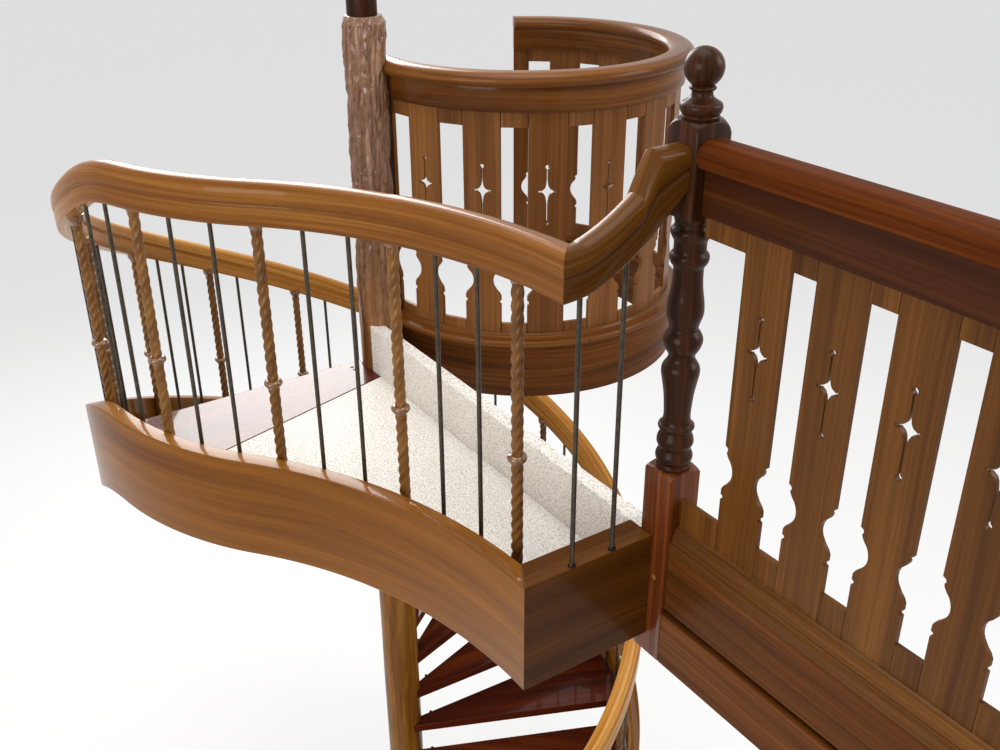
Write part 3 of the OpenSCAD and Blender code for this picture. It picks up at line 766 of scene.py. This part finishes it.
rods("landing_rods", FLOOR - 0.001)
rods("flight_rods")
twisted("landing_twisted_balusters")
twisted("flight_twisted_balusters")
collars = Shape()
for k, (low, high) in enumerate(islands("baluster_collars")):
    collars.lathe(spline(COLLAR), (low + high) / 2, steps=32, seed=k)
collars.object("baluster_collars", collar_wood, sharp=50)


# Treads and landing
BOLT_REACH, BOLT_SHARES, BOLT_BACK = LOG_R + 0.045, (0.1, 0.8), 12
BOLT = metres([(6.6, 0), (6.6, 2.8), (5.5, 4.2), (3, 5), (0.4, 5.2)])
BOLT_SUNK = 0.004
TOP_TURN = 15.4


def nosing(k):
    """Direction of the front edge of tread k."""
    return TOP_NOSING - STEP_TURN * (TREADS - k)


def tread_bolts():
    """Two bolts near the log on each tread; the top tread is narrower."""
    shape = Shape()
    for k in range(1, STEPS):
        turn = STEP_TURN if k < TREADS else TOP_TURN
        for along in BOLT_SHARES:
            at = polar(BOLT_REACH, nosing(k) + turn * along - BOLT_BACK)
            shape.lathe(BOLT, (at.x, at.y, k * RISER - BOLT_SUNK), steps=24)
    shape.object("tread_bolts", dark_metal, "tread")


for k in range(1, STEPS):
    dress("tread_%02d" % k, tread_wood, grain=(*polar(1, nosing(k)), 0), soften=0.0055,
          segments=3, seed=k)
dress("landing_deck", deck_wood, soften=0.0015, seed=3)
dress("landing_carpet", carpet, soften=0.002)
dress("landing_riser", carpet, soften=0.011, segments=4)
tread_bolts()


# Log: its relief in metres, and the heights where it grows wild, leans and tapers
LOG_SIDES, LOG_GIRTH = 176, 0.46
WAVE, LUMP, SINK, CHIP, CRACK = 0.0034, 0.0066, 0.0034, 0.0030, 0.0042
LUMP_REACH, CRACK_WIDTH = 0.70, 0.30
SMOOTH_SKIN, SMOOTH_WAVE = 0.0010, 0.0016
DEEPEST = 0.0060
FINE_FROM = FLOOR - 0.15
LEAN, TAPER = Vector((0.0045, 0.003)), 0.0042
ROUNDED_TOP = 0.02
POLE_SOFT = 0.002


def log_relief(x, y, z):
    """Broad waves, lumps, cracks and chips in the direction x, y at height z."""
    broad = noise.noise(Vector((x * 1.3, y * 1.3, z * 2.2)))
    bend = noise.noise(Vector((x * 2 + 9, y * 2, z * 6))) * 0.5
    cell = Vector((x * 3.0 + bend, y * 3.0 + bend, z * 8.5 + 1.6 * bend))
    near, next_near = noise.voronoi(cell)[0][:2]
    lumps = max(0.0, LUMP_REACH - near) / LUMP_REACH
    cracks = max(0.0, 1 - (next_near - near) / CRACK_WIDTH) * (0.4 + 0.6 * abs(broad))
    chips = noise.fractal(Vector((x * 6.0 + 7, y * 6.0, z * 36)), 1.0, 2.1, 4)
    return broad, lumps, cracks, chips


def log():
    """Peeled log: round and true between the treads, gnarled above the floor."""
    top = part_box("centre_log")[1][2]
    heights = steps_between(0.0, FINE_FROM, 0.02) + steps_between(FINE_FROM, top, 0.0045)[1:]
    rings, dents = [], []
    for z in heights:
        wild = share(z - FLOOR + 0.08, 0.25)
        lean = LEAN * max(0.0, z - FLOOR - 0.3)
        taper = TAPER * share(z - FLOOR - 0.2, 0.45)
        ring = []
        for a in turns(LOG_SIDES):
            x, y = cos(a), sin(a)
            broad, lumps, cracks, chips = log_relief(x, y, z)
            dent = wild * (CRACK * cracks + CHIP * max(0.0, -chips))
            r = LOG_R + SMOOTH_SKIN + SMOOTH_WAVE * broad * (1 - wild)
            r += wild * (WAVE * broad + LUMP * lumps - SINK + CHIP * max(0.0, chips)) - dent - taper
            if z > top - ROUNDED_TOP:
                r -= (z - top + ROUNDED_TOP) * 0.5
            ring.append((r * x + lean.x, r * y + lean.y, z))
            dents.append(min(1.0, dent / DEEPEST))
        rings.append(ring)
    shape = Shape().loft(rings, heights, wrap(LOG_GIRTH, LOG_SIDES))
    piece = shape.object("centre_log", log_wood(), sharp=80)
    layer = piece.data.attributes.new("hollow", "FLOAT", "POINT")
    for item, value in zip(layer.data, dents):
        item.value = value


def pole():
    """Thin post above the log, with soft ends."""
    low, high = (Vector(c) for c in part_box("post_pole"))
    r, h = (high.x - low.x) / 2, high.z - low.z
    profile = [(r - POLE_SOFT, 0), (r, POLE_SOFT), (r, h / 2), (r, h - POLE_SOFT),
               (r - POLE_SOFT, h)]
    Shape().lathe(profile, (0, 0, low.z), steps=64).object("post_pole", dark_turned)


log()
pole()


# Newels: the heights of shaft, neck and cap start at the ends of their blocks
NEWEL_HEAD = 0.826
BLOCK_TOP, HEAD_H = 0.191, 0.207
BLOCK_SIDES, ARCH_LEVELS, BLOCK_SOFT = 96, 8, 0.002
BLOCK_CORNER, BLOCK_CROWN, BLOCK_GIRTH = 1.39, 0.84, 0.38
FOOT_ARCH, HEAD_ARCH = 0.013, 0.036
BALL_R, BALL_NECK, BALL_UP, BALL_PARTS = 0.042, 0.021, 0.311, 28
SHAFT = metres([
    (30, -4), (40, 1), (40.5, 6), (37, 12), (41, 18), (44.5, 26), (44.5, 36), (40, 46), (37, 52),
    (41, 60), (44.5, 70), (43, 82), (38, 94), (35.5, 102), (37.5, 105), (42.5, 108), (43.5, 112),
    (42.5, 116), (37.5, 119), (34.5, 126), (32, 140), (33, 165), (36, 200), (41, 230),
    (44.5, 250), (45, 262), (42.5, 272), (37, 281), (32, 290), (31, 299), (35, 307), (42, 320),
    (46, 335), (44.5, 346), (39, 357), (34, 364), (33.5, 370), (36.5, 382), (41.5, 398),
    (43, 412), (41, 434), (37, 458), (34.5, 482), (34, 504), (35, 516), (39.5, 522), (43.5, 530),
    (44.5, 538), (43, 545), (38, 551), (36.5, 558)])
NECK = metres([
    (37, -60), (41, -52), (45.5, -42), (45.5, -34), (40, -26), (37.5, -20), (39.5, -10), (42, 2),
    (36, 6)])
NEWEL_CAP = metres([
    (37, -4), (39.5, 2), (40.5, 6), (39, 9), (42.5, 14), (44.8, 21), (44.8, 27), (42, 33),
    (34, 38), (28, 42), (24, 46), (22.2, 52), (22.8, 57), (27, 60), (28.5, 63), (26, 67), (21, 70)])


def arch_drop(arch, r):
    """How far an arch lies below its crown at radius r."""
    x = min(1.0, sqrt(max(0.0, (r / NEWEL_HALF) ** 2 - 1)))
    return arch * (1 - sqrt(1 - 0.97 * x * x))


def block(shape, at, z0, z1, arch, turn, seed):
    """Square block whose turned top leaves an arch on each face."""
    sides = []
    for a in turns(BLOCK_SIDES):
        t = (a + pi / 4) % (pi / 2) - pi / 4
        sides.append((a, min(NEWEL_HALF / cos(t), NEWEL_HALF * BLOCK_CORNER)))

    def point(a, r, z):
        return (at.x + r * cos(a + turn), at.y + r * sin(a + turn), z)

    rings = [[point(a, r - BLOCK_SOFT, z0) for a, r in sides],
             [point(a, r, z0 + BLOCK_SOFT) for a, r in sides],
             [point(a, r, z1 - arch_drop(arch, r) - BLOCK_SOFT) for a, r in sides]]
    crown = NEWEL_HALF * BLOCK_CROWN
    for k in range(1, ARCH_LEVELS + 1):
        inner = [(a, r + (crown - r) * k / ARCH_LEVELS) for a, r in sides]
        rings.append([point(a, r, z1 - arch_drop(arch, r)) for a, r in inner])
    rings.append([point(a, crown * 0.6, z1) for a, _ in sides])
    us = [seed, seed + BLOCK_SOFT] + [seed + z1 - z0 + 0.004 * k for k in range(ARCH_LEVELS + 2)]
    shape.loft(rings, us, wrap(BLOCK_GIRTH, BLOCK_SIDES, seed))


def newel(node, at, foot, base, turn):
    """Turned newel: foot is the block's lower end, base the floor it guards."""
    head, head_top = base + NEWEL_HEAD, base + NEWEL_HEAD + HEAD_H
    foot_block, shape = Shape(), Shape()
    block(foot_block, at, foot, base + BLOCK_TOP, FOOT_ARCH, turn, 0.4)
    # Painted light: the foot block takes the lighter copy of the newel's wood
    foot_block.object(node + "_blocks", lit_block_wood, SLOT[node], sharp=38)
    turned = [(r, BLOCK_TOP + h) for r, h in SHAFT] + [(r, NEWEL_HEAD + h) for r, h in NECK]
    shape.lathe(spline(turned), (at.x, at.y, base), steps=64, seed=1.3)
    block(shape, at, head, head_top, HEAD_ARCH, turn, 2.2)
    shape.lathe(spline(NEWEL_CAP), (at.x, at.y, head_top), steps=64, seed=3.0)
    low_a, high_a = -acos(BALL_NECK / BALL_R), pi / 2 * 0.985
    ball = [(BALL_R * cos(a), BALL_R * sin(a)) for a in evenly(low_a, high_a, BALL_PARTS)]
    shape.lathe(ball, (at.x, at.y, head + BALL_UP), steps=64, seed=4.0)
    shape.object(node, dark_turned, sharp=38)


newel("top_newel", NEWEL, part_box("top_newel")[0][2], FLOOR, 0.0)
END = radians(STRING_END)
END_R, END_BACK = STRING_R - STRING_T / 2, NEWEL_HALF + 0.0003
FLIGHT_END = Vector((END_R * cos(END) + END_BACK * sin(END),
                     END_R * sin(END) - END_BACK * cos(END)))
newel("bottom_newel", FLIGHT_END, 0.0, 0.0, END)


# Fretwork boards
SLOT_W, SLOT_Z, SLOT_H = 0.066, 0.118, 0.670
BOARD_T, BOARD_SOFT, SEAM = 0.013, 0.0012, 0.0004
STAR_Z = 0.580
STAR_UP, STAR_DOWN, STAR_HOLE = 0.081, 0.104, 0.0066
HOLE_GAP, HOLE_PARTS = 15, 14
STAR = metres([
    (1.4, 40), (2.6, 27), (5.2, 15), (10, 7.5), (17.5, 3.4), (21.5, 1.4), (23.5, 3.4),
    (26.2, 3.4), (28, 1.4), (28, -1.4), (26.2, -3.4), (23.5, -3.4), (21.5, -1.4), (17.5, -3.4),
    (10, -8), (5.2, -17), (2.6, -31), (1.4, -46)])
SWELL = metres([
    (70, 0), (72, 6), (80, 6), (83, 0), (98, 0.3), (108, 5.5), (116, 13.5), (122, 18),
    (130, 23.5), (138, 27), (147, 28.5), (157, 28), (166, 25.5), (174, 21.5), (184, 12.5),
    (192, 7.5), (198, 6), (202, 9), (208, 8), (212, 0)])


def star(x, z):
    """Four-pointed star at x, z, with long slits that end in round holes."""
    slit = STAR[0][0]
    right = [(slit, STAR_UP - STAR_HOLE)] + STAR + [(slit, STAR_HOLE - STAR_DOWN)]
    hole = [radians(a) for a in evenly(HOLE_GAP, 360 - HOLE_GAP, HOLE_PARTS)]
    bottom = [(STAR_HOLE * sin(t), STAR_HOLE * cos(t) - STAR_DOWN) for t in hole]
    top = [(STAR_HOLE * sin(-t), STAR_UP - STAR_HOLE * cos(-t)) for t in hole]
    left = [(-across, up) for across, up in reversed(right)]
    return [(x + across, z + up) for across, up in right + bottom + left + top]


def edge_of(side, z0, width):
    """Board edge beside a slot whose middle is at 0 and lower end at z0."""
    return [(side * (width / 2 + out), z0 + h) for h, out in SWELL]


def board(x_low, x_high, top, bottom=0.0, slot_z=0.0, width=0.0, left=None, right=None):
    """Outline of a board; left and right are the middles of the slots beside it."""
    line = [(x_low, bottom), (x_high, bottom)]
    if right is not None:
        line += [(right + x, z) for x, z in edge_of(-1, slot_z, width)]
    line += [(x_high, top), (x_low, top)]
    if left is not None:
        line += [(left + x, z) for x, z in reversed(edge_of(1, slot_z, width))]
    return line


def saw(outlines):
    """Flat sawn board from outlines with holes, in x and z, with soft edges."""
    curve = bpy.data.curves.new("outline", "CURVE")
    curve.dimensions = "2D"
    curve.fill_mode = "BOTH"
    curve.extrude = BOARD_T / 2 - BOARD_SOFT
    curve.bevel_depth = BOARD_SOFT
    curve.bevel_resolution = 1
    curve.offset = -BOARD_SOFT - SEAM
    for line in outlines:
        edge = curve.splines.new("POLY")
        edge.points.add(len(line) - 1)
        for point, (x, z) in zip(edge.points, line):
            point.co = (x, z, 0, 1)
        edge.use_cyclic_u = True
    holder = add_object("outline", curve)
    bpy.context.view_layer.update()
    mesh = bpy.data.meshes.new_from_object(holder.evaluated_get(
        bpy.context.evaluated_depsgraph_get()))
    bpy.data.objects.remove(holder)
    bpy.data.curves.remove(curve)
    bm = bmesh.new()
    bm.from_mesh(mesh)
    bpy.data.meshes.remove(mesh)
    bmesh.ops.remove_doubles(bm, verts=bm.verts, dist=1e-5)
    for v in bm.verts:
        x, z, y = v.co
        v.co = (x, -y, z)
    bmesh.ops.recalc_face_normals(bm, faces=bm.faces)
    return bm


def add_board(panel, outlines, where, seed):
    """Adds a sawn board to a panel, with UVs along it."""
    bm = saw(outlines)
    box_uv(bm, Vector((0, 0, 1)), seed)
    bmesh.ops.transform(bm, matrix=where, verts=bm.verts)
    mesh = bpy.data.meshes.new("part")
    bm.to_mesh(mesh)
    bm.free()
    panel.from_mesh(mesh)
    bpy.data.meshes.remove(mesh)


# Gallery: sections are [distance across, height]
BAY, BAYS = 0.190, 6
FIRST_SLOT = 0.088
GALLERY_TOP = FLOOR + 1.0
GALLERY_DOME = metres([
    (0, 0), (16, -0.6), (30, -4), (41, -13.5), (47, -25), (48, -36), (46, -45)])
GALLERY_EDGE = metres([(42, -47.5), (40.5, -49.5), (40.5, -55)])
BASE_MOULD = metres([
    (0, -30), (0, -4), (2, -1), (8, 1), (8.5, 5), (8.5, 8.5), (11, 9.2), (11, 10.8), (8.5, 11.5),
    (8.5, 17), (10, 20), (14.5, 22.5), (16, 26), (16, 34), (18, 37), (26, 39.5), (30, 42),
    (30, -30)])


def gallery_fretwork():
    """Boards between the slots, stars in all but the last, and infills."""
    low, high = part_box("gallery_fretwork")
    top, length = high[2] - FLOOR, high[0] - low[0]
    panel = bmesh.new()
    where = Matrix.Translation((low[0], NEWEL.y, FLOOR))
    half = SLOT_W / 2
    for i in range(BAYS):
        is_last = i == BAYS - 1
        left = FIRST_SLOT + BAY * i + half
        right = min(left + BAY - SLOT_W, length)
        next_slot = None if is_last else FIRST_SLOT + BAY * (i + 1)
        lines = [board(left, right, top, 0.0, SLOT_Z, SLOT_W, left - half, next_slot)]
        if not is_last:
            lines.append(star(FIRST_SLOT + BAY * (i + 0.5), STAR_Z))
        add_board(panel, lines, where, i + 1)
    for i in range(BAYS):
        left = 0.0 if i == 0 else FIRST_SLOT + BAY * i - half
        right = FIRST_SLOT + BAY * i + half
        for bottom, over in ((0.0, SLOT_Z), (SLOT_Z + SLOT_H, top)):
            add_board(panel, [board(left, right, over, bottom)], where, 20 + i + bottom * 9)
    finish(panel, "gallery_fretwork", board_wood)


def along_x(node, section, material, seed):
    """Moulding along +X over the node's length; its section is [y, height] round."""
    low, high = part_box(node)
    xs = steps_between(low[0], high[0], 0.25)
    Shape().loft([[(x, y, z) for y, z in section] for x in xs], [seed + x for x in xs],
                 [seed + v for v in girths(section)]).object(node, material)


def gallery_rails():
    half = spline([(x, GALLERY_TOP + z) for x, z in GALLERY_DOME])
    half += [(x, GALLERY_TOP + z) for x, z in GALLERY_EDGE]
    along_x("gallery_handrail", both_sides(half, NEWEL.y, -1), rail_mahogany, 1.0)
    dress("gallery_fascia", fascia_wood, soften=0.0025, seed=1.9)
    dress("gallery_upper_beam", beam_wood, soften=0.004, seed=4.4)
    dress("gallery_lower_beam", beam_wood, soften=0.004, seed=6.1)
    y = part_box("gallery_base_mould")[0][1]
    section = [(y + across, FLOOR + z) for across, z in reversed(BASE_MOULD)]
    along_x("gallery_base_mould", section, board_wood, 2.5)


gallery_fretwork()
gallery_rails()


# Round balustrade: sections are [distance from its radius, height over the floor]
WELL_R, WELL_TURN, WELL_BAYS = 0.548, 22.1, 11
WELL_START = -93.0
WELL_END = WELL_START + WELL_BAYS * WELL_TURN
WELL_AT = Vector((0, WELL_R + LOG_R + 0.006))
WELL_SLOT_W, WELL_DROP = 0.086, 0.050
WELL_TOP, WELL_CAP, WELL_FASCIA = 0.912, 0.868, 0.788
WELL_DOME = metres([(0, 0), (18, -0.8), (31, -5), (41, -13.5), (46, -24), (44.5, -34), (39, -40)])
WELL_BASE, WELL_BASE_OUT = WELL_R + BOARD_T / 2, 0.048
WELL_SOFT = 0.003
STAVE_PROUD, INFILL_PROUD = 0.0012, 0.0008


def along_ring(node, section, material, seed):
    """Moulding round the well; its section is [radius, height above the floor]."""
    angles = steps_between(WELL_START, WELL_END)
    rings = [[(*polar(r, a, WELL_AT), FLOOR + z) for r, z in section] for a in angles]
    us = [seed + radians(a - WELL_START) * WELL_R for a in angles]
    Shape().loft(rings, us, [seed + v for v in girths(section)]).object(node, material)


def round_place(turn, r):
    """Place of a flat stave whose outer face looks away from the well."""
    return (Matrix.Translation((WELL_AT.x, WELL_AT.y, FLOOR))
            @ Matrix.Rotation(radians(turn + 90), 4, "Z") @ Matrix.Translation((0, -r, 0)))


def well_fretwork():
    """Flat staves between the slots, stars in the inner ones, and infills."""
    slot_turn = 2 * degrees(asin(WELL_SLOT_W / 2 / WELL_R))
    half_turn = radians(WELL_TURN - slot_turn) / 2
    stave_r = WELL_R * cos(half_turn) + STAVE_PROUD
    infill_r = WELL_R * cos(radians(slot_turn) / 2) + INFILL_PROUD
    half, half_slot = WELL_R * sin(half_turn), WELL_SLOT_W / 2
    slot_low = SLOT_Z - WELL_DROP
    panel = bmesh.new()
    for i in range(WELL_BAYS + 1):
        low, left = (0.0, None) if i == 0 else (-half, -half - half_slot)
        high, right = (0.0, None) if i == WELL_BAYS else (half, half + half_slot)
        lines = [board(low, high, WELL_FASCIA, 0.0, slot_low, WELL_SLOT_W, left, right)]
        if 0 < i < WELL_BAYS:
            lines.append(star(0.0, STAR_Z - WELL_DROP))
        add_board(panel, lines, round_place(WELL_START + WELL_TURN * i, stave_r), 40 + i)
    for i in range(WELL_BAYS):
        where = round_place(WELL_START + WELL_TURN * (i + 0.5), infill_r)
        for bottom, over in ((0.0, slot_low), (slot_low + SLOT_H, WELL_FASCIA)):
            add_board(panel, [board(-half_slot, half_slot, over, bottom)], where,
                      60 + i + bottom * 7)
    finish(panel, "well_fretwork", drum_wood)


def ring_box(half_width, low, high):
    """Soft-edged rectangle on both sides of the well's radius."""
    return rounded([(WELL_R + half_width, low), (WELL_R + half_width, high),
                    (WELL_R - half_width, high), (WELL_R - half_width, low)], WELL_SOFT)


def well_rails():
    half = spline([(x, WELL_TOP + z) for x, z in WELL_DOME])
    half += [(0.036, WELL_TOP - 0.042), (0.036, WELL_CAP)]
    along_ring("well_handrail", both_sides(half, WELL_R, 1), drum_rail_wood, 0.9)
    along_ring("well_fascia", ring_box(0.020, WELL_FASCIA, WELL_CAP), drum_rail_wood, 2.7)
    mould = [(0, 0), (WELL_BASE_OUT, 0), (WELL_BASE_OUT, 0.014), (0.043, 0.020),
             (0.010, 0.022), (0.006, 0.030), (0, 0.034)]
    along_ring("well_base_mould", rounded([(WELL_BASE + out, z) for out, z in mould], WELL_SOFT),
               drum_rail_wood, 4.1)
    along_ring("well_trimmer", ring_box(0.030, -0.2, 0), beam_wood, 6.6)


well_fretwork()
well_rails()


# Wooden plugs over screws, and one screw in the round balustrade's base
STUD_SIDES = 24
PLUG = metres([(7, -2), (7, 0.6), (5.8, 1.4), (0.4, 1.7)])
SCREW = metres([(4.2, -2), (4.2, 0.6), (3.4, 1.4), (0.4, 1.8)])
SCREW_TURN, SCREW_UP = -12.25, 0.008


def stud(at, way, profile, name, material, slot):
    """Round stud that stands out along way; profile is [radius, distance out]."""
    way = Vector(way).normalized()
    side = way.orthogonal().normalized()
    other_side = way.cross(side)
    rings = [[tuple(Vector(at) + way * h + (side * cos(t) + other_side * sin(t)) * r)
              for t in turns(STUD_SIDES)] for r, h in profile]
    us, vs = [0.002 * i for i in range(len(rings))], [0.001 * j for j in range(STUD_SIDES + 1)]
    Shape().loft(rings, us, vs).object(name, material, slot)


stud((CORNER.x - 0.036, CORNER.y + 0.012, FLOOR), (0, 0, 1), PLUG,
     "string_corner_plug", plug_wood, "string")
stud((NEWEL.x + 0.012, NEWEL_FACE, FLOOR - 0.12), (0, -1, 0), PLUG,
     "newel_plug", plug_wood, "newel")
stud((*polar(WELL_BASE + WELL_BASE_OUT, SCREW_TURN, WELL_AT), FLOOR + SCREW_UP),
     (*polar(1, SCREW_TURN), 0), SCREW, "round_base_screw", dark_metal, "fretwork")


# Floor, light and camera
SPAN = 60
GROUND_GREY, GROUND_GLOW, GROUND_SHARE = 0.86, 0.96, 0.6
SKY_LIGHT, SKY_GREY = 0.42, 0.95


def grey(level):
    return (level, level, level, 1)


def ground():
    """Pale floor that keeps the shadow and looks almost white to the camera."""
    mesh = bpy.data.meshes.new("ground")
    corners = [(-SPAN, -SPAN, 0), (SPAN, -SPAN, 0), (SPAN, SPAN, 0), (-SPAN, SPAN, 0)]
    mesh.from_pydata(corners, [], [(0, 1, 2, 3)])
    piece = add_object("ground", mesh)
    n = material_nodes("ground")
    n.fill(Base_Color=grey(GROUND_GREY), Roughness=0.95)
    glow = n.add("Emission", {"Color": grey(GROUND_GLOW), "Strength": 1.0})
    n.output("Material Output", n.shown_or(n.shader.outputs[0], glow.outputs[0], GROUND_SHARE))
    mesh.materials.append(n.owner)


def sky():
    """Even white light, which looks pale grey to the camera and in reflections."""
    n = Nodes(bpy.data.worlds.new("studio"))
    bpy.context.scene.world = n.owner
    light = n.tree.nodes["Background"]
    light.inputs["Color"].default_value = grey(1)
    light.inputs["Strength"].default_value = SKY_LIGHT
    pale = n.add("Background", {"Color": grey(SKY_GREY), "Strength": 1.0})
    n.output("World Output", n.shown_or(light.outputs[0], pale.outputs[0]))


def lamp(name, at, target, size, power, colour=(1, 1, 1)):
    """Square lamp at a place, turned to its target."""
    light = bpy.data.lights.new(name, "AREA")
    light.shape, light.size, light.energy, light.color = "SQUARE", size, power, colour
    piece = add_object(name, light)
    piece.location = at
    piece.rotation_euler = (Vector(target) - Vector(at)).to_track_quat("-Z", "Y").to_euler()


def camera():
    piece = add_object("camera", bpy.data.cameras.new("camera"))
    forward = Vector((cos(HEADING) * cos(PITCH), sin(HEADING) * cos(PITCH), -sin(PITCH)))
    right = Vector((sin(HEADING), -cos(HEADING), 0))
    turn = (Matrix((right, right.cross(forward), -forward)).transposed()
            @ Matrix.Rotation(-ROLL, 3, "Z").inverted())
    piece.matrix_world = Matrix.Translation(EYE) @ turn.to_4x4()
    piece.data.lens = LENS
    piece.data.sensor_width = SENSOR
    bpy.context.scene.camera = piece


ground()
lamp("window_light", (-4.7, 1.1, 5.7), (0.5, -0.3, 2.9), 3.0, 330, (1.0, 0.99, 0.97))
lamp("side_light", (4.5, 4.5, 6.0), (0.8, -0.2, 2.8), 3.0, 170)
lamp("front_light", (3.0, -6.0, 4.6), (0.6, -0.3, 2.4), 3.5, 230, (1.0, 0.98, 0.95))
lamp("top_light", (0.9, -0.4, 8.5), (0.9, -0.4, 2.8), 4.0, 190)
sky()
bpy.context.scene.view_settings.view_transform = "Standard"
camera()
